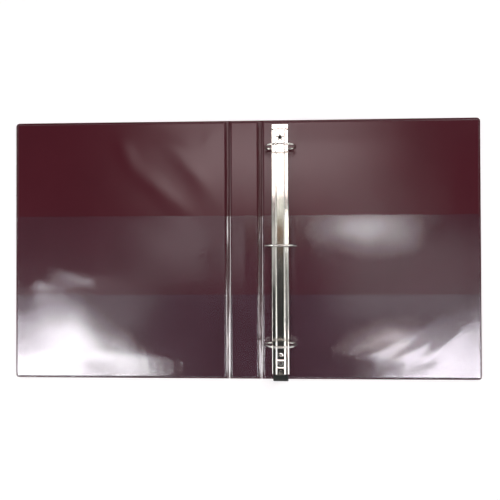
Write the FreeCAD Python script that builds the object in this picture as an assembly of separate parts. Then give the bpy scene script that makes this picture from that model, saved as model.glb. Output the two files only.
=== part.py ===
import FreeCAD, Part
import math
import os
from collections import namedtuple

# A vinyl ring binder, open flat with its outside down. Millimetres.
# X runs across (front cover at -X, back cover at +X), +Y to the binder's top, +Z up.
# The origin is on the underside, at the middle of the spine.

# covers
cover_height = 292.0  # along Y
cover_width = 245.0  # from a hinge line to the cover's free edge
hinge_pitch = 36.5  # between the two hinge lines
skin_t = 0.4  # outer vinyl
board_t = 2.2
liner_t = 0.3  # inner vinyl
pocket_t = 0.2  # clear sheet
weld_border = 3.0  # flat welded edge outside the board
hinge_margin = 2.3  # the same beside a hinge
fold_offset = 2.2  # of the two embossed fold lines either side of a hinge line
fold_w = 1.0
fold_t = 0.45
fold_angle = 45.0  # degrees that each line bends when the binder shuts
corner_r = 4.0
tall_pocket_y = 38.0  # open upper edge of each pocket
short_pocket_y = -51.0

# ring metal
housing_offset = 21.9  # from the back hinge line to the metal's centre line
housing_length = 276.8
housing_w = 18.6
housing_h = 7.8  # above the sheets it stands on
housing_t = 0.9
side_wall_h = 6.2  # upright part of each side
crest_half = 5.3  # outer edge of each crest
crest_w = 1.0
channel_depth = 0.4
ledge_w = 1.1  # inturned ledge that carries a blade
ledge_low = 1.1
ledge_t = 0.8
end_plate_length = 5.0
end_notch = 1.4

# blades
blade_t = 1.0
blade_pivot_h = 2.8  # pivot above the sheets
blade_side_gap = 0.2
blade_mid_gap = 0.1  # to the centre line when the two lie flat
blade_end_inset = 7.2
closed_tilt = 7.0  # degrees below flat

# rings
ring_pitch = 107.95
middle_ring_y = 3.9
wire_d = 2.5
ring_closed_gap = 1.0  # under the closed front cover
ring_heel_r = 5.0
ring_heel_turn = 16.15  # degrees below the ring's widest point, where its heel begins
ring_leg_inner = 3.1  # the leg's end, inwards from the pivot
tenon_d = 1.6
tenon_inner = 2.1
fit_gap = 0.05
tip_gap = 0.04
tip_pin_d = 1.0
tip_pin_length = 0.6
ring_window_w = 3.7
ring_window_low = 2.9
ring_window_high = 6.85
ring_window_inner = 4.75

# rivets
rivet_top_y = 124.2
rivet_bottom_y = -126.4
rivet_tube_d = 4.8
rivet_bore_d = 3.4
rivet_head_d = 9.5
rivet_head_t = 0.8
rivet_flange_t = 0.5
rivet_flange_d = 5.2
rivet_petals = 5
rivet_petal_w = 1.7
rivet_petal_reach = 3.9
post_clearance = 0.6  # of a blade around a rivet
recess_w = 7.4
recess_length = 6.8
recess_depth = 0.8
recess_shift = -0.7  # of the recess's centre from the lower rivet
rib_r = 0.6
button_y = -117.2
button_r = 2.6
button_h = 0.6
button_dimple_r = 0.9

# trigger
pivot_inset = 3.1  # pin centre from the metal's lower end
pivot_h = 3.2
pin_d = 2.0
pin_overhang = 0.3
running_gap = 0.08
barrel_d = 4.0
barrel_half = 5.2
finger_half = 1.6
finger_low = 0.3
finger_t = 0.8
finger_reach = 5.1
tail_angle = 35.0
tail_half = 5.0
tail_t = 1.2
pad_start = 5.6  # along the tail from the pin
pad_end = 11.9
pad_half = 8.4
pad_under = 1.6
pad_over = 1.9
pad_fillet = 1.1
end_slot_r = 2.2

# derived places
half_h = cover_height / 2
hinge_x = hinge_pitch / 2
metal_x = hinge_x + housing_offset
web_t = skin_t + liner_t
web_half = fold_offset + fold_w / 2  # half the width of a hinge, between its two panels
face_z = skin_t + board_t + liner_t + 2 * pocket_t  # top of the sheets under the metal
housing_top = face_z + housing_h
channel_z = housing_top - channel_depth
half_l = housing_length / 2
inner_half = housing_w / 2 - housing_t
blade_x = inner_half - blade_side_gap
blade_z = face_z + blade_pivot_h
blade_w = blade_x - blade_mid_gap
wire_r = wire_d / 2
# shut, the spine stands between the covers and each hinge's web leans at fold_angle
shut_pitch = hinge_pitch - 2 * fold_offset + 4 * fold_offset * math.sin(math.radians(fold_angle))
ring_top_z = fold_t + shut_pitch - face_z - ring_closed_gap - wire_r
pin_y = -half_l + pivot_inset
pin_z = face_z + pivot_h
ring_ys = {
    "top": middle_ring_y + ring_pitch,
    "middle": middle_ring_y,
    "bottom": middle_ring_y - ring_pitch,
}
rivet_ys = {"top": rivet_top_y, "bottom": rivet_bottom_y}

Panel = namedtuple("Panel", "name x0 x1 rounded")
panels = [
    Panel("front", -hinge_x - cover_width, -hinge_x - web_half, -1),
    Panel("spine", -hinge_x + web_half, hinge_x - web_half, 0),
    Panel("back", hinge_x + web_half, hinge_x + cover_width, 1),
]


def vec(x, y, z):
    return FreeCAD.Vector(x, y, z)


def box(x0, x1, y0, y1, z0, z1):
    return Part.makeBox(x1 - x0, y1 - y0, z1 - z0, vec(x0, y0, z0))


def upright(x, y, z0, z1, r):
    """A round bar along Z."""
    return Part.makeCylinder(r, z1 - z0, vec(x, y, z0))


def crossways(x0, x1, y, z, r):
    """A round bar along X."""
    return Part.makeCylinder(r, x1 - x0, vec(x0, y, z), vec(1, 0, 0))


def slab(panel, grow, z0, z1):
    """The panel's plate: grow is its edge's distance outside the board, or None for the full outline."""
    if grow is None:
        side, hinge_side, r = 0, 0, corner_r
    else:
        side, hinge_side = weld_border - grow, hinge_margin - grow
        r = max(corner_r - side, 1.0)
    left = side if panel.rounded < 0 else hinge_side
    right = side if panel.rounded > 0 else hinge_side
    x0, x1 = panel.x0 + left, panel.x1 - right
    plate = box(x0, x1, -half_h + side, half_h - side, z0, z1)
    if not panel.rounded:
        return plate
    free = x0 if panel.rounded < 0 else x1
    corners = [
        e
        for e in plate.Edges
        if abs(e.Length - (z1 - z0)) < 1e-6
        and all(abs(v.X - free) < 1e-6 for v in e.Vertexes)
    ]
    return plate.makeFillet(r, corners)


def sheet_over_board(panel, below, thickness):
    """A sheet drawn down over the board and the sheets below it, with its edge on the weld border."""
    edge_z = skin_t + below
    top_z = skin_t + board_t + below
    edge = slab(panel, None, edge_z, edge_z + thickness)
    hood = slab(panel, below + thickness, edge_z, top_z + thickness)
    return edge.fuse(hood).cut(slab(panel, below, 0, top_z)).removeSplitter()


def cut_at(shape, y):
    """What lies below y, for a pocket's open edge."""
    wide = hinge_x + cover_width + 1
    return shape.cut(box(-wide, wide, y, half_h + 1, 0, face_z + 1))


def rivet_bores(shape, ys):
    """Clears the rivets' tubes and their flush heads out of a sheet or board of the back cover."""
    for y in ys:
        shape = shape.cut(upright(metal_x, y, 0, housing_top, rivet_tube_d / 2 + fit_gap))
        shape = shape.cut(upright(metal_x, y, 0, rivet_head_t, rivet_head_d / 2 + fit_gap))
    return shape


def cover_pieces(panel):
    short = sheet_over_board(panel, liner_t + pocket_t, pocket_t)
    tall = sheet_over_board(panel, liner_t, pocket_t)
    pieces = {
        "outer_vinyl": slab(panel, None, 0, skin_t),
        "board": slab(panel, 0, skin_t, skin_t + board_t),
        "liner": sheet_over_board(panel, 0, liner_t),
        "tall_pocket": cut_at(tall, tall_pocket_y),
        "short_pocket": cut_at(short, short_pocket_y),
    }
    if panel.name == "back":
        pieces = {k: rivet_bores(s, rivet_ys.values()) for k, s in pieces.items()}
    return {f"{panel.name}_{k}": s for k, s in pieces.items()}


def hinge_pieces(name, x):
    """The welded web between two panels and the thin fold line on each side of it."""
    toward_cover = math.copysign(1, x)
    web_side = fold_offset - fold_w / 2
    pieces = {f"{name}_web": box(x - web_side, x + web_side, -half_h, half_h, 0, web_t)}
    for neighbour, side in (("cover", toward_cover), ("spine", -toward_cover)):
        line = x + side * fold_offset
        fold = box(line - fold_w / 2, line + fold_w / 2, -half_h, half_h, 0, fold_t)
        pieces[f"{name}_{neighbour}_fold"] = fold
    return pieces


def mirrored(points):
    """Closes a profile that is given for x > 0 only."""
    return points + [(-x, z) for x, z in reversed(points)]


def along_y(points, y0, y1):
    corners = [vec(x, y0, z) for x, z in points]
    return Part.Face(Part.makePolygon(corners + corners[:1])).extrude(vec(0, y1 - y0, 0))


def housing_section():
    """The channel's outer and inner profiles, about its centre line."""
    shoulder = face_z + side_wall_h
    half = housing_w / 2
    run, rise = half - crest_half, housing_top - shoulder
    length = math.hypot(run, rise)
    outer = [
        (half, face_z),
        (half, shoulder),
        (crest_half, housing_top),
        (crest_half - crest_w, housing_top),
        (crest_half - crest_w - channel_depth, channel_z),
    ]
    inner_top = housing_top - housing_t
    shift = housing_t * length / run  # of the sloping wall, straight down
    inner = [
        (inner_half, face_z - 1),
        (inner_half, shoulder + housing_t * rise / run - shift),
        (crest_half - (inner_top - housing_top + shift) * run / rise, inner_top),
        (crest_half - crest_w - channel_depth, channel_z - housing_t),
    ]
    return mirrored(outer), mirrored(inner)


def recess():
    """The square sinking in the channel round the lower rivet."""
    y = rivet_bottom_y + recess_shift
    half_w, half_len = recess_w / 2, recess_length / 2
    floor = channel_z - recess_depth
    wall = housing_t
    tub = box(-half_w - wall, half_w + wall, y - half_len - wall, y + half_len + wall, floor - wall, channel_z)
    hollow = box(-half_w, half_w, y - half_len, y + half_len, floor, housing_top + 1)
    ribs = [
        crossways(-crest_half + crest_w, crest_half - crest_w, y + s * (half_len + rib_r), channel_z, rib_r)
        for s in (-1, 1)
    ]
    return tub, hollow, ribs


def button():
    """The pressed button above the lower rivet: a low dome with a dimple."""
    r = (button_r**2 + button_h**2) / (2 * button_h)
    ball = Part.makeSphere(r, vec(0, button_y, channel_z + button_h - r))
    dome = ball.common(upright(0, button_y, channel_z - housing_t / 2, housing_top + 1, button_r))
    return dome.cut(upright(0, button_y, channel_z, housing_top + 1, button_dimple_r))


def housing():
    outer, inner = housing_section()
    shell = along_y(outer, -half_l, half_l).cut(along_y(inner, -half_l - 1, half_l + 1))
    for side in (-1, 1):
        ledge_x = sorted((side * (inner_half - ledge_w), side * (inner_half + fit_gap)))
        ledge_z = face_z + ledge_low
        shell = shell.fuse(box(*ledge_x, -half_l, half_l, ledge_z, ledge_z + ledge_t))
        for y in ring_ys.values():
            window_x = sorted((side * ring_window_inner, side * (housing_w / 2 + 1)))
            half_w = ring_window_w / 2
            window_z = face_z + ring_window_low, face_z + ring_window_high
            shell = shell.cut(box(*window_x, y - half_w, y + half_w, *window_z))
    plate_y = half_l - end_plate_length
    plate = box(-housing_w / 2, housing_w / 2, plate_y, half_l, housing_top - housing_t, housing_top)
    tub, hollow, ribs = recess()
    shell = shell.fuse([plate, tub, button(), *ribs]).cut(hollow)
    for side in (-1, 1):
        notch_x = sorted((side * (crest_half + end_notch), side * housing_w / 2 + side))
        shell = shell.cut(box(*notch_x, plate_y - end_notch, plate_y, blade_z + blade_t, housing_top + 1))
    for y in rivet_ys.values():
        shell = shell.cut(upright(0, y, channel_z - 3, housing_top + 1, rivet_tube_d / 2 + fit_gap))
    slot_y = -half_l + end_slot_r
    shell = shell.cut(upright(0, slot_y, inner_roof(), housing_top + 1, end_slot_r))
    shell = shell.cut(box(-end_slot_r, end_slot_r, -half_l - 1, slot_y, inner_roof(), housing_top + 1))
    shell = shell.cut(crossways(-housing_w, housing_w, pin_y, pin_z, pin_d / 2 + fit_gap))
    return shell.removeSplitter()


def inner_roof():
    return channel_z - housing_t - 0.1


def blade():
    """The right blade: a flat plate, tilted about its outer edge, notched round both rivets."""
    y0, y1 = -half_l + blade_end_inset, half_l - blade_end_inset
    half_t = blade_t / 2
    plate = box(blade_x - blade_w, blade_x, y0, y1, blade_z - half_t, blade_z + half_t)
    for y in rivet_ys.values():
        r = rivet_tube_d / 2 + post_clearance
        plate = plate.cut(upright(0, y, face_z, housing_top, r))
    for y in ring_ys.values():
        r = tenon_d / 2 + fit_gap
        plate = plate.cut(upright(blade_x - tenon_inner, y, face_z, housing_top, r))
    return tilted(plate)


def tilted(shape):
    shape.rotate(vec(blade_x, 0, blade_z), vec(0, 1, 0), -closed_tilt)
    return shape


def arc(cx, cz, r, start, end):
    """An arc in the XZ plane, its angles in radians from +X."""
    points = [
        vec(cx + r * math.cos(a), 0, cz + r * math.sin(a))
        for a in (start, (start + end) / 2, end)
    ]
    return Part.Arc(*points).toShape()


def ring_leg():
    """The leg's centre line: its point over the pivot, and the directions along it and up from it."""
    slope = math.radians(closed_tilt)
    along, up = (math.cos(slope), math.sin(slope)), (-math.sin(slope), math.cos(slope))
    lift = blade_t / 2 + wire_r
    return (blade_x + lift * up[0], blade_z + lift * up[1]), along, up


def ring_radius(foot, up):
    """Of the big arc that has its top at ring_top_z and whose heel comes down onto the leg."""
    turn = math.radians(ring_heel_turn)
    lean = math.cos(turn) * up[0] - math.sin(turn) * up[1]
    leg_height = foot[0] * up[0] + foot[1] * up[1]
    return (ring_top_z * up[1] - leg_height - ring_heel_r * (1 + lean)) / (up[1] - lean)


def ring_path():
    """The right ring half's centre line: a leg along the blade, a heel, then the big arc to the tip."""
    foot, along, up = ring_leg()
    ring_r = ring_radius(foot, up)
    centre_z = ring_top_z - ring_r
    turn = -math.radians(ring_heel_turn)
    to_heel = ring_r - ring_heel_r
    heel = to_heel * math.cos(turn), centre_z + to_heel * math.sin(turn)
    reach = (heel[0] - foot[0]) * along[0] + (heel[1] - foot[1]) * along[1]
    tip = math.acos(tip_gap / 2 / ring_r)
    start = vec(foot[0] - ring_leg_inner * along[0], 0, foot[1] - ring_leg_inner * along[1])
    knee = vec(foot[0] + reach * along[0], 0, foot[1] + reach * along[1])
    edges = [
        Part.LineSegment(start, knee).toShape(),
        arc(*heel, ring_heel_r, math.radians(closed_tilt) - math.pi / 2, turn),
        arc(0, centre_z, ring_r, turn, tip),
    ]
    return Part.Wire(edges), start, vec(along[0], 0, along[1])


def ring_wire():
    path, start, along = ring_path()
    section = Part.Wire(Part.Circle(start, along, wire_r).toShape())
    return path.makePipeShell([section], True, False)


def tenon():
    """The leg's riveted end, through the blade."""
    low = blade_z - blade_t / 2
    return tilted(upright(blade_x - tenon_inner, 0, low, blade_z + blade_t / 2 + wire_r, tenon_d / 2))


def on_left(shape):
    return shape.mirror(vec(0, 0, 0), vec(1, 0, 0))


def ring_halves():
    """(right, left) halves at y = 0: the left tip's pin enters the right tip's socket."""
    half = ring_wire().fuse(tenon()).removeSplitter()
    socket_r, socket_end = tip_pin_d / 2 + running_gap, tip_pin_length + 0.3
    right = half.cut(crossways(-1, socket_end, 0, ring_top_z, socket_r))
    pin = crossways(-1, tip_pin_length, 0, ring_top_z, tip_pin_d / 2)
    return right, on_left(half).fuse(pin).removeSplitter()


def rivet(y, seat_z, petals):
    """A tubular rivet: flush head outside, hollow tube, and the rolled or split end on the metal."""
    body = upright(0, y, 0, rivet_head_t, rivet_head_d / 2)
    body = body.fuse(upright(0, y, 0, seat_z + rivet_flange_t, rivet_tube_d / 2))
    body = body.fuse(upright(0, y, seat_z, seat_z + rivet_flange_t, rivet_flange_d / 2))
    for n in range(petals):
        petal = box(0, rivet_petal_reach, -rivet_petal_w / 2, rivet_petal_w / 2, seat_z, seat_z + rivet_flange_t)
        petal.rotate(vec(0, 0, 0), vec(0, 0, 1), 90 + n * 360 / petals)
        petal.translate(vec(0, y, 0))
        body = body.fuse(petal)
    bore = upright(0, y, rivet_head_t, seat_z + rivet_flange_t + 1, rivet_bore_d / 2)
    return body.cut(bore).removeSplitter()


def on_tail(s0, s1, half, n0, n1):
    """A block placed along the trigger's tail: s runs outwards from the pin, n is square to the tail."""
    block = box(-half, half, pin_y - s1, pin_y - s0, pin_z + n0, pin_z + n1)
    block.rotate(vec(0, pin_y, pin_z), vec(1, 0, 0), -tail_angle)
    return block


def trigger_lever():
    """A pressed lever: barrel on the pin, a finger under the blades' ends and a tail up into the pad."""
    low = face_z + finger_low
    barrel = crossways(-barrel_half, barrel_half, pin_y, pin_z, barrel_d / 2)
    finger = box(-finger_half, finger_half, pin_y - 0.9, pin_y + finger_reach, low, low + finger_t)
    web = box(-finger_half, finger_half, pin_y - 0.9, pin_y + 1.4, low, pin_z - 1.2)
    tail = on_tail(0, pad_end - 0.9, tail_half, -tail_t / 2, tail_t / 2)
    lever = barrel.fuse([finger, web, tail])
    return lever.cut(crossways(-8, 8, pin_y, pin_z, pin_d / 2 + running_gap)).removeSplitter()


def trigger_pad():
    pad = on_tail(pad_start, pad_end, pad_half, -pad_under, pad_over)
    pad = pad.makeFillet(pad_fillet, pad.Edges)
    half_t = tail_t / 2 + fit_gap
    slot = on_tail(pad_start - 1, pad_end - 0.9 + fit_gap, tail_half + fit_gap, -half_t, half_t)
    return pad.cut(slot)


def pivot_pin():
    reach = housing_w / 2 + pin_overhang
    return crossways(-reach, reach, pin_y, pin_z, pin_d / 2)


def metal_pieces():
    """The ring metal, about its own centre line."""
    right_half, left_half = ring_halves()
    pieces = {
        "ring_housing": housing(),
        "right_blade": blade(),
        "left_blade": on_left(blade()),
        "top_rivet": rivet(rivet_top_y, channel_z, rivet_petals),
        "bottom_rivet": rivet(rivet_bottom_y, channel_z - recess_depth, 0),
        "trigger_lever": trigger_lever(),
        "trigger_pad": trigger_pad(),
        "trigger_pin": pivot_pin(),
    }
    for name, y in ring_ys.items():
        for side, half in (("right", right_half), ("left", left_half)):
            pieces[f"{side}_{name}_ring"] = half.translated(vec(0, y, 0))
    return {name: shape.translated(vec(metal_x, 0, 0)) for name, shape in pieces.items()}


def model():
    pieces = hinge_pieces("front", -hinge_x)
    pieces.update(hinge_pieces("back", hinge_x))
    for panel in panels:
        pieces.update(cover_pieces(panel))
    pieces.update(metal_pieces())
    return pieces


os.makedirs("parts", exist_ok=True)
for node, shape in model().items():
    shape.exportStep(f"parts/{node}.step")
    print(node, len(shape.Solids), shape.isValid(), round(shape.Volume, 2), shape.BoundBox)
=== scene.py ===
# A ring binder of padded vinyl, lying open with its inside up: two covers and a spine, clear
# pockets inside them, and the ring metal riveted to the back cover.
import math

import bmesh
import bpy
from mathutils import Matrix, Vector, noise


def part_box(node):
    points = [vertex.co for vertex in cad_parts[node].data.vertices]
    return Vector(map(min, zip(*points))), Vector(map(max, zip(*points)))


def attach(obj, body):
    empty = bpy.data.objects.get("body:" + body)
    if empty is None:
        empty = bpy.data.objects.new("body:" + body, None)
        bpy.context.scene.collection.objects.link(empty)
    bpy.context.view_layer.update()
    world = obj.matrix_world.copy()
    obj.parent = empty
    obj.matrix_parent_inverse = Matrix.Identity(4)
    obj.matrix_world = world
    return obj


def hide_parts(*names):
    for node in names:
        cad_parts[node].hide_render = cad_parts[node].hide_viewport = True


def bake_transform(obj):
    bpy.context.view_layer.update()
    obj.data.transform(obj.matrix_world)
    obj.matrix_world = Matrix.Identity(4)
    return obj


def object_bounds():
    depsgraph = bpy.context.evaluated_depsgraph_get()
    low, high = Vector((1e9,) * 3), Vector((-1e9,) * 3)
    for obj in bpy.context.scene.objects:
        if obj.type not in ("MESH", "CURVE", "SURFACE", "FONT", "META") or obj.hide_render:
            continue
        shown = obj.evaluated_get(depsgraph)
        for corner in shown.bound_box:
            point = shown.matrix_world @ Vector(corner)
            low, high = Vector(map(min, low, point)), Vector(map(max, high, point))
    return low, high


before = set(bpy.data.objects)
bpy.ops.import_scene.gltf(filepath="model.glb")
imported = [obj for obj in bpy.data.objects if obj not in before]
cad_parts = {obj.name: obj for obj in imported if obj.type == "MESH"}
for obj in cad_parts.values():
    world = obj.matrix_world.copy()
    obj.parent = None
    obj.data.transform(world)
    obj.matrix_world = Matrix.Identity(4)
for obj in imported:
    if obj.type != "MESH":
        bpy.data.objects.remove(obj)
bpy.ops.object.select_all(action="DESELECT")
bpy.context.view_layer.update()
cad_box = [list(corner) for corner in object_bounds()]
mm = 0.001  # a millimetre in the scene's metres

# --- Studio ---
# The binder lies on a wide sheet of white paper, under soft boxes that hang round the camera.
# The paper is clear from below, so that the outside of the covers can be looked at too.


def add_node(tree, kind, settings=None, **inputs):
    """A shader node: an input given as a socket is linked, and a value is set. iN means input number N."""
    made = tree.nodes.new("ShaderNode" + kind)
    for name, value in (settings or {}).items():
        setattr(made, name, value)
    for name, value in inputs.items():
        numbered = name[0] == "i" and name[1:].isdigit()
        socket = made.inputs[int(name[1:]) if numbered else name.replace("_", " ")]
        if isinstance(value, bpy.types.NodeSocket):
            tree.links.new(value, socket)
        else:
            socket.default_value = value
    return made


def new_finish(name):
    """A material with all its nodes cleared away, its output too."""
    finish = bpy.data.materials.new(name)
    finish.use_nodes = True
    finish.node_tree.nodes.clear()
    return finish, finish.node_tree


def show(tree, shader):
    add_node(tree, "OutputMaterial", Surface=shader)


bpy.ops.mesh.primitive_plane_add(size=14, location=(0, 0, -0.4 * mm))
paper = bpy.context.object
paper.name = paper.data.name = "paper"
paper_white, tree = new_finish("paper_white")
ray = add_node(tree, "LightPath")
seen = add_node(
    tree, "Math", {"operation": "MAXIMUM"}, i0=ray.outputs["Is Camera Ray"], i1=ray.outputs["Is Glossy Ray"]
)
glow = add_node(tree, "Math", {"operation": "MULTIPLY"}, i0=seen.outputs[0], i1=0.3)
fibre = add_node(tree, "TexNoise", Scale=900.0, Detail=2.0)
tooth = add_node(tree, "Bump", Strength=0.05, Distance=0.0002, Height=fibre.outputs[0])
sheet_shader = add_node(
    tree,
    "BsdfPrincipled",
    Base_Color=(0.86, 0.86, 0.86, 1),
    Roughness=0.9,
    Specular_IOR_Level=0.1,
    Emission_Color=(1, 1, 1, 1),
    Emission_Strength=glow.outputs[0],
    Normal=tooth.outputs[0],
)
below = add_node(tree, "NewGeometry")
clear = add_node(tree, "BsdfTransparent")
both = add_node(
    tree, "MixShader", i0=below.outputs["Backfacing"], i1=sheet_shader.outputs[0], i2=clear.outputs[0]
)
show(tree, both.outputs[0])
paper.data.materials.append(paper_white)

# the room: white walls up to a low height, and a dim ceiling above them
room = bpy.data.worlds.new("room")
bpy.context.scene.world = room
room.use_nodes = True
tree = room.node_tree
tree.nodes.clear()
way = add_node(tree, "TexCoord")
up = add_node(tree, "SeparateXYZ", Vector=way.outputs["Generated"])
wall = add_node(
    tree,
    "MapRange",
    {"interpolation_type": "SMOOTHSTEP"},
    Value=up.outputs["Z"],
    From_Min=0.12,
    From_Max=0.5,
    To_Min=0.85,
    To_Max=0.035,
)
ray = add_node(tree, "LightPath")
level = add_node(
    tree, "Mix", {"data_type": "FLOAT"}, i0=ray.outputs["Is Camera Ray"], i2=wall.outputs[0], i3=1.0
)
air = add_node(tree, "Background", Color=(1, 1, 1, 1), Strength=level.outputs[0])
add_node(tree, "OutputWorld", Surface=air.outputs[0])


def soft_box(name, at, size, glow, turn=0, aim=None, tint=(1, 1, 1)):
    """A soft box as bright as glow: it hangs level, turned by turn degrees, or is aimed at a point."""
    bpy.ops.object.light_add(type="AREA", location=at, rotation=(0, 0, math.radians(turn)))
    lamp = bpy.context.object
    lamp.name = lamp.data.name = name
    lamp.data.shape = "RECTANGLE"
    lamp.data.size, lamp.data.size_y = size
    lamp.data.energy = math.pi * size[0] * size[1] * glow  # the watts for that brightness
    lamp.data.color = tint
    if aim:
        lamp.rotation_euler = (Vector(aim) - Vector(at)).to_track_quat("-Z", "Y").to_euler()


ceiling = 1.2  # height of the level boxes and cards, in metres
hung = 1.19  # height of those that hang just under them
rose = (1.0, 0.86, 0.87)
lilac = (0.97, 0.94, 1.0)
cool = (0.97, 0.95, 1.0)
soft_box("top_box", (0.035, 0.385, ceiling), (0.77, 0.30), 5.5, tint=rose)
soft_box("pale_card", (0.08, 0.165, ceiling), (0.18, 0.09), 0.9, tint=(0.95, 1.0, 0.92))
soft_box("wood_card", (0.08, 0.07, ceiling), (0.18, 0.10), 0.2, tint=(1.0, 0.52, 0.24))
soft_box("right_wing", (0.40, 0.09, ceiling), (0.26, 0.09), 6.2)
soft_box("left_wing", (-0.25, 0.04, ceiling), (0.30, 0.15), 0.62)
soft_box("left_wing_fade", (-0.28, 0.01, ceiling), (0.46, 0.26), 0.3)
soft_box("corner_box", (-0.885, -0.432, ceiling), (0.44, 0.38), 3.4, tint=cool)
soft_box("corner_core", (-0.91, -0.52, hung), (0.42, 0.24), 6.5)
soft_box("corner_box_slant", (-0.735, -0.52, ceiling), (0.48, 0.36), 2.2, turn=-41, tint=cool)
soft_box("corner_band", (-0.592, -0.417, hung), (0.46, 0.085), 9.0, turn=-41)
soft_box("corner_lobe", (-0.81, -0.165, ceiling), (0.19, 0.09), 2.4, turn=-20, tint=cool)
soft_box("left_low_card", (-0.54, -0.19, ceiling), (0.24, 0.16), 0.35)
soft_box("near_box_upper", (0.70, -0.36, hung), (0.46, 0.07), 6.5, turn=18, tint=lilac)
soft_box("near_box_lower", (0.76, -0.50, hung), (0.50, 0.17), 5.0, turn=12, tint=lilac)
soft_box("near_box", (0.82, -0.47, ceiling), (0.54, 0.32), 2.0, turn=8, tint=lilac)
soft_box("near_box_fade", (0.52, -0.46, ceiling), (0.20, 0.20), 1.5, turn=8)
soft_box("near_streak", (0.45, -0.35, hung), (0.15, 0.05), 7.5, turn=25, tint=(1.0, 0.90, 0.88))
soft_box("right_fill", (0.60, -0.10, ceiling), (0.62, 0.30), 0.42)
soft_box("left_box", (-1.25, -0.1, 0.60), (1.3, 0.34), 3.2, aim=(0, -0.1, 0))
soft_box("right_box", (1.30, -0.55, 0.83), (0.8, 0.40), 4.2, aim=(0, -0.55, 0))
soft_box("far_right_box", (0.95, 1.0, 0.9), (0.8, 0.5), 4.0, aim=(0.15, 0, 0))

bpy.ops.object.camera_add(
    location=(0.0246, -0.0046, 0.52),
    rotation=(math.radians(0.42), math.radians(2.03), math.radians(-0.19)),
)
camera = bpy.context.object
camera.data.sensor_width = 36
camera.data.lens = 33.06
camera.data.clip_start = 0.01
bpy.context.scene.camera = camera
bpy.context.scene.view_settings.view_transform = "Standard"

# --- Cover boards ---
# Three stiff grey chipboards, one in each cover and one in the spine. They are cut from sheet and
# shut in between the vinyl sheets, with only their thickness telling from outside.

board_grey, tree = new_finish("board_grey")
place = add_node(tree, "TexCoord")
fleck = add_node(tree, "TexNoise", Vector=place.outputs["Object"], Scale=700.0, Detail=5.0)
shade = add_node(
    tree,
    "Mix",
    {"data_type": "RGBA"},
    i0=fleck.outputs[0],
    i6=(0.16, 0.145, 0.125, 1),
    i7=(0.36, 0.335, 0.29, 1),
)
pulp = add_node(tree, "Bump", Strength=0.3, Distance=0.0002, Height=fleck.outputs[0])
board_shader = add_node(
    tree, "BsdfPrincipled", Base_Color=shade.outputs[2], Roughness=0.95, Normal=pulp.outputs[0]
)
show(tree, board_shader.outputs[0])


def finish_node(node, finish):
    """Gives a CAD node another material."""
    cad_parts[node].material_slots[0].material = finish


for panel in ("front", "spine", "back"):
    finish_node(panel + "_board", board_grey)

# --- Outer vinyl ---
# One burgundy sheet of grained PVC wraps the outside of both covers and the spine. Its leather
# grain is pressed in, and it is welded to the inner vinyl all round the edge.


def new_group(name, inputs, outputs):
    """A node group with float inputs and the named outputs."""
    group = bpy.data.node_groups.new(name, "ShaderNodeTree")
    for label, value in inputs.items():
        socket = group.interface.new_socket(label, in_out="INPUT", socket_type="NodeSocketFloat")
        socket.default_value = value
    for label in outputs:
        group.interface.new_socket(label, in_out="OUTPUT", socket_type="NodeSocketFloat")
    return group, group.nodes.new("NodeGroupInput").outputs, group.nodes.new("NodeGroupOutput").inputs


# leather grain: rounded pebbles with creases between them, and slow patches of tone and of wear
leather_grain, given, put = new_group(
    "leather_grain", {"Cells": 900.0, "Patch": 14.0}, ("Height", "Tone", "Rub")
)
place = add_node(leather_grain, "TexCoord").outputs["Object"]
wander = add_node(leather_grain, "TexNoise", Vector=place, Scale=given["Cells"], Detail=1.0)
drift = add_node(
    leather_grain, "VectorMath", {"operation": "SCALE"}, i0=wander.outputs["Color"], Scale=0.0009
)
moved = add_node(leather_grain, "VectorMath", {"operation": "ADD"}, i0=place, i1=drift.outputs[0])
pebble = add_node(
    leather_grain,
    "TexVoronoi",
    {"feature": "DISTANCE_TO_EDGE"},
    Vector=moved.outputs[0],
    Scale=given["Cells"],
)
dome = add_node(
    leather_grain,
    "MapRange",
    {"interpolation_type": "SMOOTHSTEP"},
    Value=pebble.outputs["Distance"],
    From_Min=0.0,
    From_Max=0.35,
    To_Min=0.0,
    To_Max=1.0,
)
pore = add_node(leather_grain, "TexNoise", Vector=place, Scale=3200.0, Detail=2.0)
height = add_node(
    leather_grain, "Math", {"operation": "MULTIPLY_ADD"}, i0=pore.outputs[0], i1=0.35, i2=dome.outputs[0]
)
leather_grain.links.new(height.outputs[0], put["Height"])
slow = add_node(leather_grain, "TexNoise", Vector=place, Scale=given["Patch"], Detail=3.0, Roughness=0.6)
leather_grain.links.new(slow.outputs[0], put["Tone"])
rub = add_node(leather_grain, "TexNoise", Vector=place, Scale=55.0, Detail=6.0, Roughness=0.7)
rubbed = add_node(
    leather_grain, "MapRange", Value=rub.outputs[0], From_Min=0.45, From_Max=0.75, To_Min=0.0, To_Max=1.0
)
leather_grain.links.new(rubbed.outputs[0], put["Rub"])


def place_group(tree, group, **values):
    """Places a node group with its own values, and gives its outputs."""
    made = tree.nodes.new("ShaderNodeGroup")
    made.node_tree = group
    for label, value in values.items():
        made.inputs[label].default_value = value
    return made.outputs


def vinyl_finish(name, deep, light, smooth, rough, cells, depth):
    """Coloured PVC, from deep to light and from smooth to rough, with cells setting how fine its grain is."""
    finish, tree = new_finish(name)
    grain = place_group(tree, leather_grain, Cells=cells)
    colour = add_node(tree, "Mix", {"data_type": "RGBA"}, i0=grain["Tone"], i6=deep, i7=light)
    gloss = add_node(
        tree, "MapRange", Value=grain["Rub"], From_Min=0.0, From_Max=1.0, To_Min=smooth, To_Max=rough
    )
    press = add_node(tree, "Bump", Strength=depth, Distance=0.00012, Height=grain["Height"])
    shader = add_node(
        tree,
        "BsdfPrincipled",
        Base_Color=colour.outputs[2],
        Roughness=gloss.outputs[0],
        Specular_IOR_Level=0.4,
        Normal=press.outputs[0],
    )
    show(tree, shader.outputs[0])
    return finish


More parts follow.
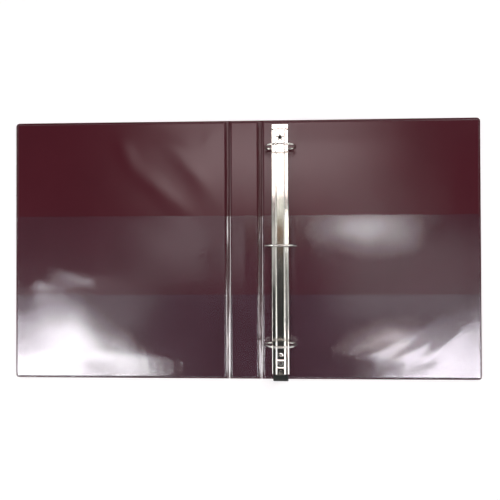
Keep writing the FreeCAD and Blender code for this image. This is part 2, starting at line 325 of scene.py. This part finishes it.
outer_burgundy = vinyl_finish(
    "outer_burgundy", (0.056, 0.0060, 0.0105, 1), (0.070, 0.0085, 0.0140, 1), 0.34, 0.44, 750.0, 0.5
)
for panel in ("front", "spine", "back"):
    finish_node(panel + "_outer_vinyl", outer_burgundy)

# --- Inner vinyl ---
# The lining of the two covers and the spine: the same burgundy PVC, thinner and smoother. Each
# sheet is drawn down over its board's edge to the weld round it, and lies a little slack between.

inner_burgundy = vinyl_finish(
    "inner_burgundy", (0.060, 0.0080, 0.0145, 1), (0.075, 0.0104, 0.0180, 1), 0.22, 0.235, 1500.0, 0.1
)
weld_z = 0.7  # top of the welded vinyl
face_z = 2.9  # top of the lining over a board
weld_border = 3.0  # from the outline in to the board's edge
drape = 1.5  # how far outside the board's edge the sheets come down to the weld
lining_thick, lining_mesh = 0.3, 3.0  # its thickness, and about how far apart its mesh lines lie
outline_x = cad_box[1][0] / mm
outline_y = cad_box[1][1] / mm
corner = 4.0  # radius of the outer corners
hinge_x = (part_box("back_web")[0].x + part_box("back_web")[1].x) / 2 / mm
metal_x = (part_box("ring_housing")[0].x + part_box("ring_housing")[1].x) / 2 / mm


def ease(t):
    """0 up to t = 0, 1 from t = 1, and a smooth step between."""
    t = min(max(t, 0.0), 1.0)
    return t * t * (3 - 2 * t)


def fold(x, y, at, angle, half, run, rise):
    """A soft ridge's height at (x, y): half wide across and run long each way, turned by angle."""
    turn = math.radians(angle)
    dx, dy = x - at[0], y - at[1]
    along = dx * math.cos(turn) + dy * math.sin(turn)
    across = dy * math.cos(turn) - dx * math.sin(turn)
    return rise * math.exp(-((across / half) ** 2) - (along / run) ** 2)


def ripple(x, y, size, rise, seed):
    """A slow random swell, from -rise to rise."""
    return rise * noise.noise(Vector((x / size, y / size, seed)))


class Panel:
    """One stiff part of the cover: its outline in millimetres, and how far inside it the board starts."""

    def __init__(self, name):
        low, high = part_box(name + "_outer_vinyl")
        self.name = name
        self.x0, self.x1 = low.x / mm, high.x / mm
        board_low, board_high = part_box(name + "_board")
        self.edge_left = board_low.x / mm - self.x0
        self.edge_right = self.x1 - board_high.x / mm

    def inside(self, x, y):
        """How far the point is inside the board's edge."""
        across = min(x - self.x0 - self.edge_left, self.x1 - x - self.edge_right)
        return min(across, outline_y - abs(y) - weld_border)


panels = [Panel(name) for name in ("front", "spine", "back")]


def off_metal(x):
    """0 under the ring metal, where the sheets are held flat, and 1 away from it."""
    held, loose = 10.0, 20.0
    return ease((abs(x - metal_x) - held) / (loose - held))


def slack(x, y):
    """How far the lining stands off its board, before its edges hold it down."""
    lift = 0.35 + ripple(x, y, 70, 0.25, 1.0) + ripple(x, y, 24, 0.04, 2.0)
    lift += fold(x, y, (-95, 66), -41, 11, 48, 0.75) + fold(x, y, (-138, 117), -66, 10, 26, 0.5)
    lift += fold(x, y, (-58, 90), -50, 12, 48, 0.85)
    lift += fold(x, y, (-40, 113), -86, 6, 22, 0.4)
    return lift * off_metal(x)


crease_z = 0.5  # height of the vinyl along the middle of a hinge
crease_half, crease_slope = 1.65, 0.22
bevel_half, bevel_slope = 2.7, 0.58


def valley(off):
    """The welded vinyl's height off a hinge's middle: a shallow crease, a steep bevel, then the board."""
    crease = crease_z + crease_slope * min(off, crease_half)
    bevel = bevel_slope * min(max(off - crease_half, 0.0), bevel_half - crease_half)
    bevel_top = crease_z + crease_slope * crease_half + bevel_slope * (bevel_half - crease_half)
    return crease + bevel + (face_z - bevel_top) * ease((off - bevel_half) / drape)


def welded(x, y):
    """The height that the welds round the outline and at the hinges draw the sheets down to."""
    rim = min(outline_x - abs(x), outline_y - abs(y)) - weld_border
    edge = weld_z + (face_z - weld_z) * ease((rim + drape) / drape)
    return min(edge, valley(abs(abs(x) - hinge_x)))


def lining(panel, x, y):
    """The lining's height, which takes 30 mm to come free of its edges."""
    return welded(x, y) + slack(x, y) * ease(panel.inside(x, y) / 30)


def spread(start, end, step):
    """Places along one side of a sheet, close together over the board's edges."""
    near = [0, 0.4, 0.8, 1.1, 1.4, 1.7, 2.0, 2.3, 2.7, 3.1, 3.6, 4.3, 5.2, 6.4, 8.0]
    inner = end - start - 2 * near[-1]
    count = max(round(inner / step), 1)
    middle = [near[-1] + inner * n / count for n in range(1, count)]
    return [start + d for d in near + middle] + [end - d for d in reversed(near)]


def round_off(x, y, trim):
    """Draws a point near one of the covers' outer corners in to the rounded corner."""
    r = corner - trim
    u, v = (abs(x) - outline_x + corner) / r, (abs(y) - outline_y + corner) / r
    if u <= 0 or v <= 0:
        return x, y
    u, v = u * math.sqrt(1 - v * v / 2), v * math.sqrt(1 - u * u / 2)
    return (
        math.copysign(outline_x - corner + u * r, x),
        math.copysign(outline_y - corner + v * r, y),
    )


def lay_sheet(name, panel, top, height, thick, step, finish, trim=0.0):
    """A sheet over a panel, shaped by height, up to top, and cut trim short of the outline."""
    left = panel.x0 + (trim if panel.name == "front" else 0)
    right = panel.x1 - (trim if panel.name == "back" else 0)
    xs, ys = spread(left, right, step), spread(trim - outline_y, top, step)
    bpy.ops.mesh.primitive_grid_add(x_subdivisions=len(xs) - 1, y_subdivisions=len(ys) - 1, size=1)
    sheet = bpy.context.object
    sheet.name = sheet.data.name = name
    for vertex in sheet.data.vertices:
        x = xs[round((vertex.co.x + 0.5) * (len(xs) - 1))]
        y = ys[round((vertex.co.y + 0.5) * (len(ys) - 1))]
        z = height(panel, x, y)
        vertex.co = (*(c * mm for c in round_off(x, y, trim)), z * mm)
    shell = sheet.modifiers.new("thickness", "SOLIDIFY")
    shell.thickness = thick * mm
    shell.offset = -1
    bpy.ops.object.modifier_apply(modifier=shell.name)
    bpy.ops.object.shade_smooth_by_angle(angle=math.radians(40))
    sheet.data.materials.append(finish)
    return sheet


def cover_body(panel):
    """The body that a panel's sheets ride on."""
    return {"front": "front_cover", "spine": "spine", "back": "back_cover"}[panel.name]


for panel in panels:
    lining_sheet = lay_sheet(
        panel.name + "_lining", panel, outline_y, lining, lining_thick, lining_mesh, inner_burgundy
    )
    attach(lining_sheet, cover_body(panel))
    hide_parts(panel.name + "_liner")

# --- Hinges ---
# Between the spine and each cover the vinyl sheets are welded together into a narrow web, with a
# line pressed in along each side of it where it bends. The clear sheets are welded in up to their edge.

pocket_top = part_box("front_tall_pocket")[1].y / mm
hinge_vinyl, tree = new_finish("hinge_vinyl")
grain = place_group(tree, leather_grain, Cells=1500.0)
colour = add_node(
    tree,
    "Mix",
    {"data_type": "RGBA"},
    i0=grain["Tone"],
    i6=(0.050, 0.0060, 0.0105, 1),
    i7=(0.066, 0.0085, 0.0140, 1),
)
height = add_node(tree, "SeparateXYZ", Vector=add_node(tree, "TexCoord").outputs["Object"])
film = add_node(
    tree,
    "MapRange",
    Value=height.outputs["Y"],
    From_Min=pocket_top * mm,
    From_Max=(pocket_top - 0.6) * mm,
    To_Min=0.0,
    To_Max=1.0,
)
waver = add_node(tree, "TexNoise", Scale=260.0, Detail=2.0)
press = add_node(tree, "Bump", Strength=0.25, Distance=0.0002, Height=waver.outputs[0])
shader = add_node(
    tree,
    "BsdfPrincipled",
    Base_Color=colour.outputs[2],
    Roughness=0.15,
    Coat_Weight=film.outputs[0],
    Coat_Roughness=0.1,
    Coat_IOR=1.9,
    Normal=press.outputs[0],
)
show(tree, shader.outputs[0])


strip_columns, strip_rows = 12, 60


def weld_strip(name, node):
    """A strip of the welded hinge in a CAD node's place, its top following the valley between the boards."""
    low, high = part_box(node)
    width, length = high.x - low.x, high.y - low.y
    bpy.ops.mesh.primitive_cube_add(size=1, location=((low.x + high.x) / 2, 0, weld_z * mm / 2))
    strip = bpy.context.object
    strip.name = strip.data.name = name
    strip.scale = (width, length, weld_z * mm)
    bpy.ops.object.transform_apply(location=True, rotation=True, scale=True)
    bpy.ops.object.mode_set(mode="EDIT")
    for n in range(1, strip_columns):
        bpy.ops.mesh.select_all(action="SELECT")
        bpy.ops.mesh.bisect(plane_co=(low.x + width * n / strip_columns, 0, 0), plane_no=(1, 0, 0))
    for n in range(1, strip_rows):
        bpy.ops.mesh.select_all(action="SELECT")
        bpy.ops.mesh.bisect(plane_co=(0, low.y + length * n / strip_rows, 0), plane_no=(0, 1, 0))
    bpy.ops.object.mode_set(mode="OBJECT")
    for vertex in strip.data.vertices:
        x, y = vertex.co.x / mm, vertex.co.y / mm
        if vertex.co.z > 0.1 * mm:
            wobble = 0.06 * noise.noise(Vector((x, y / 7, 0.5)))
            vertex.co.z = (welded(x, y) + wobble) * mm
        elif width < 2 * mm:
            # the line pressed up into the underside of a fold, which is narrower than a web
            vertex.co.z = 0.14 * math.sin(math.pi * (vertex.co.x - low.x) / width) * mm
    bpy.ops.object.shade_smooth_by_angle(angle=math.radians(50))
    strip.data.materials.append(hinge_vinyl)
    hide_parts(node)
    return strip


for side, cover in (("front", "front_cover"), ("back", "back_cover")):
    web_node = side + "_web"
    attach(weld_strip(side + "_weld_web", web_node), web_node)
    for node, body in ((side + "_cover_fold", cover), (side + "_spine_fold", "spine")):
        line = weld_strip(node + "_line", node)
        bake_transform(line)

# --- Clear pockets ---
# Two sheets of clear vinyl across the inside, a tall one and a short one over it. They are welded
# down round the edge and at the hinges, open along the top, and slack enough to ripple.


def film_finish(name, thin, thick, milk):
    """Clear vinyl: it mirrors what glances off it, and its milky haze is somewhere from thin to thick."""
    finish, tree = new_finish(name)
    grain = place_group(tree, leather_grain, Cells=2600.0)
    haze = add_node(
        tree, "MapRange", Value=grain["Tone"], From_Min=0.3, From_Max=0.7, To_Min=thin, To_Max=thick
    )
    cloud = add_node(
        tree,
        "BsdfPrincipled",
        Base_Color=milk,
        Roughness=0.6,
        Specular_IOR_Level=0.0,
        Alpha=haze.outputs[0],
    )
    gloss = add_node(
        tree, "MapRange", Value=grain["Rub"], From_Min=0.0, From_Max=1.0, To_Min=0.075, To_Max=0.09
    )
    emboss = add_node(tree, "Bump", Strength=0.06, Distance=0.0001, Height=grain["Height"])
    mirror = add_node(
        tree,
        "BsdfPrincipled",
        Base_Color=(0.97, 0.95, 0.98, 1),
        Metallic=1.0,
        Roughness=gloss.outputs[0],
        Normal=emboss.outputs[0],
    )
    edge_on = add_node(tree, "Fresnel", IOR=1.5)
    mix = add_node(tree, "MixShader", i0=edge_on.outputs[0], i1=cloud.outputs[0], i2=mirror.outputs[0])
    show(tree, mix.outputs[0])
    return finish


tall_clear = film_finish("tall_clear", 0.021, 0.031, (0.72, 0.32, 0.46, 1))
short_clear = film_finish("short_clear", 0.016, 0.026, (0.50, 0.42, 0.62, 1))
film_rise = 0.2  # from the face of one sheet up to the next, where they lie close
film_thick, film_mesh = 0.18, 2.2
film_trim = 1.2  # the films stop this far short of the outline


def tall_film(panel, x, y):
    """The tall pocket's height: close over the lining, with a few creases near its top and soft swells."""
    held = ease((panel.inside(x, y) + drape) / 26)
    loose = 0.25 + ripple(x, y, 42, 0.12, 5.0)
    loose += fold(x, y, (-48, -4), 40, 3, 5, 0.35) + fold(x, y, (-43, -9), 70, 3, 8, 0.2)
    loose += fold(x, y, (2, -2), 60, 3, 6, 0.2)
    loose += fold(x, y, (-182, -26), -9, 12, 56, 0.72)
    loose += fold(x, y, (-236, -35), -8, 10, 24, 0.55)
    return lining(panel, x, y) + film_rise + max(loose, 0.02) * held * off_metal(x)


def pucker(x, y, seed):
    """Short gathers standing off the bottom weld."""
    from_edge = outline_y - weld_border + y
    gather = 0.8 * max(noise.noise(Vector((x / 6, seed, y / 60))), 0)
    return gather * math.exp(-from_edge / 14) * ease(from_edge / 3)


def short_film(panel, x, y):
    """The short pocket's height: close over the tall one, with slanting swells at both ends."""
    held = ease((panel.inside(x, y) + drape) / 20)
    loose = 0.3 + ripple(x, y, 36, 0.12, 9.0) + pucker(x, y, 3.0)
    loose += fold(x, y, (-186, -120), -50, 6, 26, 0.28)
    loose += fold(x, y, (215, -112), 38, 8, 45, 0.6)
    loose += fold(x, y, (178, -120), 32, 6, 28, 0.5)
    loose += fold(x, y, (143, -118), 25, 6, 24, 0.5)
    return tall_film(panel, x, y) + film_rise + max(loose, 0.02) * held * off_metal(x)


short_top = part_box("front_short_pocket")[1].y / mm
pockets = (("tall", pocket_top, tall_film, tall_clear), ("short", short_top, short_film, short_clear))
for panel in panels:
    for kind, top, shape, finish in pockets:
        film_name = f"{panel.name}_{kind}_clear_pocket"
        film = lay_sheet(film_name, panel, top, shape, film_thick, film_mesh, finish, trim=film_trim)
        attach(film, cover_body(panel))
        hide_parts(f"{panel.name}_{kind}_pocket")

# --- Ring housing ---
# The long pressed channel of nickel-plated steel that holds the blades and rings. Its edges are
# rolled in the press, and it is riveted down near each end.

# plated steel: fine polishing lines along the metal, and faint smudges
plating, given, put = new_group("plating", {"Lines": 60.0, "Smudge": 40.0}, ("Rough", "Height", "Stain"))
place = add_node(plating, "TexCoord").outputs["Object"]
drawn = add_node(plating, "Mapping", Vector=place, Scale=(60.0, 1.0, 60.0))
lines = add_node(plating, "TexNoise", Vector=drawn.outputs[0], Scale=given["Lines"], Detail=3.0)
smudge = add_node(plating, "TexNoise", Vector=place, Scale=given["Smudge"], Detail=5.0, Roughness=0.65)
both = add_node(plating, "Math", {"operation": "MULTIPLY"}, i0=lines.outputs[0], i1=smudge.outputs[0])
plating.links.new(both.outputs[0], put["Rough"])
plating.links.new(lines.outputs[0], put["Height"])
plating.links.new(smudge.outputs[0], put["Stain"])


def metal_finish(name, bright, dull, smooth, rough, lines, depth):
    """Steel from dull to bright and from smooth to rough, with fine polishing lines scored in it."""
    finish, tree = new_finish(name)
    worn = place_group(tree, plating, Lines=lines)
    colour = add_node(tree, "Mix", {"data_type": "RGBA"}, i0=worn["Stain"], i6=dull, i7=bright)
    gloss = add_node(
        tree, "MapRange", Value=worn["Rough"], From_Min=0.1, From_Max=0.45, To_Min=smooth, To_Max=rough
    )
    scored = add_node(tree, "Bump", Strength=depth, Distance=0.00004, Height=worn["Height"])
    shader = add_node(
        tree,
        "BsdfPrincipled",
        Base_Color=colour.outputs[2],
        Metallic=1.0,
        Roughness=gloss.outputs[0],
        Normal=scored.outputs[0],
    )
    show(tree, shader.outputs[0])
    return finish


nickel = metal_finish("nickel", (0.78, 0.76, 0.71, 1), (0.62, 0.60, 0.54, 1), 0.08, 0.2, 60.0, 0.15)

metal_low, metal_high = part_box("ring_housing")
metal_foot = metal_low.z / mm
metal_end = metal_high.y / mm
spots = ("top", "middle", "bottom")
ring_ys = [sum(end.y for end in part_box(f"right_{spot}_ring")) / 2 / mm for spot in spots]
rivet_ys = [sum(end.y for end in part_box(node)) / 2 / mm for node in ("top_rivet", "bottom_rivet")]
channel = 7.4  # height of the channel's floor over the foot
half_width = (metal_high.x - metal_low.x) / 2 / mm
sinking_y = rivet_ys[1] - 0.7
button_y, button_r = -117.2, 2.6
floor_half = 3.3  # half the width of the flat floor
window_half = 1.85  # half the length of the gaps that the rings come up through
wall_thick = 0.85
sill = 2.9  # height of the straight wall, which the windows reach down to
rivet_hole = 1.8  # half the width of the holes under the rivets' heads

# half of the pressed section, out from the floor's edge: crest, shoulder, rolled edge and wall
crest_high = 0.40
shoulder_end, shoulder_drop = 8.8, 0.28
roll_drop, roll_steps = 0.6, 7
section = [(floor_half, channel), (3.6, channel)]
section += [(3.9 + 0.14 * n, channel + crest_high * math.sin(math.pi * n / 10) ** 2) for n in range(11)]
section += [(6.1, channel - 0.03), (7.0, channel - 0.11), (7.9, channel - 0.19)]
section.append((shoulder_end, channel - shoulder_drop))
lean = math.radians(5.5)  # the shoulder's slope where the rolled edge takes over
for n in range(1, roll_steps + 1):
    t = lean + (math.pi / 2 - lean) * n / roll_steps
    out = (math.sin(t) - math.sin(lean)) / (1 - math.sin(lean))
    down = roll_drop * (1 - math.cos(t) / math.cos(lean))
    section.append((shoulder_end + (half_width - shoulder_end) * out, channel - shoulder_drop - down))
section += [(half_width, sill), (half_width, 0.3), (half_width - 0.1, 0.0)]

bpy.ops.object.select_all(action="DESELECT")
bpy.ops.mesh.primitive_plane_add(size=1, location=(metal_x * mm, 0, (metal_foot + channel) * mm))
housing = bpy.context.object
housing.name = housing.data.name = "pressed_ring_housing"
housing.scale = (2 * floor_half * mm, 2 * metal_end * mm, 1)
bpy.ops.object.transform_apply(location=True, rotation=True, scale=True)


def choose(test, faces=False):
    """Selects the open mesh's points, or its faces by their middles, where the test holds. It is given the
    place across from the metal's middle line, along it and up from its foot, in millimetres."""
    bpy.ops.mesh.select_mode(type="FACE" if faces else "VERT")
    bpy.ops.mesh.select_all(action="DESELECT")
    shape = bmesh.from_edit_mesh(bpy.context.object.data)
    for part in shape.faces if faces else shape.verts:
        x, y, z = (part.calc_center_median() if faces else part.co) / mm
        if test(x - metal_x, y, z - metal_foot):
            part.select_set(True)
    shape.select_flush_mode()
    bmesh.update_edit_mesh(bpy.context.object.data)


def cut_across(place, normal):
    """Cuts the whole open mesh along a plane through place, in millimetres."""
    bpy.ops.mesh.select_all(action="SELECT")
    bpy.ops.mesh.bisect(plane_co=[c * mm for c in place], plane_no=normal)


def stretch(start, end, step):
    """Even places from start up to but not at end, about step apart."""
    count = max(round((end - start) / step), 1)
    return [start + (end - start) * n / count for n in range(count)]


bpy.ops.object.mode_set(mode="EDIT")
for side in (-1, 1):
    choose(lambda x, y, z: x * side > floor_half - 0.1)
    for (x0, z0), (x1, z1) in zip(section, section[1:]):
        step = (side * (x1 - x0) * mm, 0, (z1 - z0) * mm)
        bpy.ops.mesh.extrude_region_move(TRANSFORM_OT_translate={"value": step})
bpy.ops.mesh.select_all(action="SELECT")
bpy.ops.mesh.normals_make_consistent(inside=False)
for x in (-2.6, -1.75, -0.9, 0, 0.9, 1.75, 2.6):
    cut_across((metal_x + x, 0, 0), (1, 0, 0))
# close rows at the two ends, where the pressed details are, and wide ones between the ring windows
low_end, high_end = -112.0, 119.0
close_rows, wide_rows = 0.35, 8.0
sides = [y + d for y in sorted(ring_ys) for d in (-window_half, window_half)]
rows = stretch(-metal_end, low_end, close_rows)
for start, end in zip([low_end] + sides, sides + [high_end]):
    rows += stretch(start, end, wide_rows)
rows += stretch(high_end, metal_end, close_rows)
for y in rows[1:]:
    cut_across((0, y, 0), (0, 1, 0))
bpy.ops.object.mode_set(mode="OBJECT")


# the end plate at the top: its length, its height over the floor, half its flat width and its rounded drop
plate_length, plate_high, plate_flat, plate_drop = 5.2, 0.4, 8.4, 0.5
# the sinking: its half width, half length and depth, and the bars that start at these places from its middle
sink_wide, sink_long, sink_deep = 3.75, 3.4, 0.8
bar_starts, bar_high, bar_half = (3.7, -4.9), 0.39, 4.4
# the button: the height of its dome, and the radius and depth of the dimple in it
dome_high, dimple_r, dimple_deep = 0.6, 1.15, 0.55


def pressed(x, y, z):
    """The section's height as pressed at this place: end plate, sinking, cross bars and button."""
    plate = ease((y - metal_end + plate_length) / 0.7)
    if plate and z > channel - 2.2:
        out = min(max((abs(x) - plate_flat) / (half_width - plate_flat), 0.0), 1.0)
        z += (channel + plate_high - plate_drop * (1 - math.sqrt(1 - out * out)) - z) * plate
    sunk = ease((sink_wide - abs(x)) / 0.3) * ease((sink_long - abs(y - sinking_y)) / 0.35)
    z -= sink_deep * sunk
    for start in bar_starts:
        up = y - sinking_y - start
        if -0.4 < up < 1.3 and abs(x) < bar_half:
            z = max(z, channel + bar_high + (up if up < 0 else -0.3 * up))
    r = math.hypot(x, y - button_y)
    if r < button_r:
        dimple = dimple_deep * ease((dimple_r - r) / 0.5)
        z += dome_high * math.cos(math.pi * r / (2 * button_r)) - dimple
    return z


for vertex in housing.data.vertices:
    x, y, z = vertex.co / mm
    vertex.co.z = (metal_foot + pressed(x - metal_x, y, z - metal_foot)) * mm


def cut_out(x, y, z):
    """True where the metal is cut away: the rings' windows, the rivets' holes and the end plate's notches."""
    window = abs(x) > shoulder_end and z > sill and any(abs(y - ring_y) < window_half for ring_y in ring_ys)
    hole = abs(x) < rivet_hole and any(abs(y - rivet_y) < rivet_hole for rivet_y in rivet_ys)
    notch = 7.0 < abs(x) < 8.6 and z > channel - 1.2 and -1.1 < y - metal_end + 5.4 < 0
    return window or hole or notch


bpy.ops.object.mode_set(mode="EDIT")
choose(cut_out, faces=True)
bpy.ops.mesh.delete(type="FACE")
bpy.ops.object.mode_set(mode="OBJECT")
wall = housing.modifiers.new("wall", "SOLIDIFY")
wall.thickness = wall_thick * mm
wall.offset = -1
bpy.ops.object.modifier_apply(modifier=wall.name)
# the round-ended slot over the trigger's barrel
slot_r, cutter_z, cutter_high = 2.2, 10.5, 6.0
at = (metal_x * mm, (slot_r - metal_end) * mm, cutter_z * mm)
bpy.ops.mesh.primitive_cylinder_add(vertices=48, radius=slot_r * mm, depth=cutter_high * mm, location=at)
slot_cutter = bpy.context.object
bpy.ops.object.mode_set(mode="EDIT")
at = (metal_x * mm, (-0.9 - metal_end) * mm, cutter_z * mm)
bpy.ops.mesh.primitive_cube_add(size=1, location=at, scale=(2 * slot_r * mm, 6.2 * mm, cutter_high * mm))
bpy.ops.object.mode_set(mode="OBJECT")
slot_cut = housing.modifiers.new("slot", "BOOLEAN")
slot_cut.object = slot_cutter
slot_cut.operation = "DIFFERENCE"
slot_cut.use_self = True
bpy.context.view_layer.objects.active = housing
bpy.ops.object.modifier_apply(modifier=slot_cut.name)
bpy.data.objects.remove(slot_cutter)
bpy.ops.object.select_all(action="DESELECT")
housing.select_set(True)
bpy.context.view_layer.objects.active = housing
bpy.ops.object.shade_smooth_by_angle(angle=math.radians(38))
housing.data.materials.append(nickel)
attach(housing, "back_cover")
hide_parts("ring_housing")

# the ledges inside that the blades lie on
ledge_size = (1.2 * mm, 2 * (metal_end - 0.5) * mm, 0.8 * mm)
for side in (-1, 1):
    at = ((metal_x + side * 7.9) * mm, 0, (metal_foot + 1.5) * mm)
    bpy.ops.mesh.primitive_cube_add(size=1, location=at, scale=ledge_size)
    ledge = bpy.context.object
    ledge.name = ledge.data.name = ("left" if side < 0 else "right") + "_housing_ledge"
    bpy.ops.object.transform_apply(location=True, rotation=True, scale=True)
    rolled_edge = ledge.modifiers.new("rolled_edge", "BEVEL")
    rolled_edge.width = 0.2 * mm
    rolled_edge.segments = 2
    bpy.ops.object.modifier_apply(modifier=rolled_edge.name)
    bpy.ops.object.shade_smooth_by_angle(angle=math.radians(50))
    ledge.data.materials.append(nickel)
    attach(ledge, "back_cover")

# --- Blades and rings ---
# Two flat blades lie in the housing, and each carries one half of every ring. The rings are round
# nickel-plated wire, bent and riveted through the blades, whose tips meet over the middle.

blade_steel = metal_finish("blade_steel", (0.60, 0.58, 0.54, 1), (0.42, 0.40, 0.37, 1), 0.2, 0.38, 90.0, 0.3)
ring_wire = metal_finish("ring_wire", (0.80, 0.77, 0.73, 1), (0.66, 0.63, 0.58, 1), 0.1, 0.22, 120.0, 0.1)
for side in ("right", "left"):
    finish_node(side + "_blade", blade_steel)
    for spot in spots:
        finish_node(f"{side}_{spot}_ring", ring_wire)

# --- Rivets ---
# Two tubular steel rivets come up through the back cover and the housing. The upper one is split
# into petals, and the lower one is rolled over in its square sinking.

rivet_steel = metal_finish(
    "rivet_steel", (0.46, 0.45, 0.43, 1), (0.32, 0.315, 0.30, 1), 0.4, 0.55, 200.0, 0.4
)
for node in ("bottom_rivet", "trigger_pin"):
    finish_node(node, rivet_steel)
# the split petals are matt where the setting tool opened them
petal_steel = metal_finish("petal_steel", (0.62, 0.61, 0.58, 1), (0.45, 0.44, 0.41, 1), 0.6, 0.75, 200.0, 0.4)
finish_node("top_rivet", petal_steel)

# --- Trigger ---
# A pressed steel lever turns on a pin in the housing's lower end. A moulded black pad, glossy from
# handling, is pushed onto its tail for the thumb.

lever_steel = metal_finish("lever_steel", (0.55, 0.53, 0.49, 1), (0.36, 0.35, 0.32, 1), 0.22, 0.4, 120.0, 0.3)
finish_node("trigger_lever", lever_steel)
pad_black, tree = new_finish("pad_black")
skin = place_group(tree, leather_grain, Cells=2200.0, Patch=90.0)
colour = add_node(
    tree,
    "Mix",
    {"data_type": "RGBA"},
    i0=skin["Tone"],
    i6=(0.012, 0.015, 0.014, 1),
    i7=(0.022, 0.026, 0.024, 1),
)
gloss = add_node(tree, "MapRange", Value=skin["Rub"], From_Min=0.0, From_Max=1.0, To_Min=0.28, To_Max=0.45)
texture = add_node(tree, "Bump", Strength=0.15, Distance=0.0001, Height=skin["Height"])
shader = add_node(
    tree,
    "BsdfPrincipled",
    Base_Color=colour.outputs[2],
    Roughness=gloss.outputs[0],
    Normal=texture.outputs[0],
)
show(tree, shader.outputs[0])
finish_node("trigger_pad", pad_black)

bpy.context.view_layer.update()
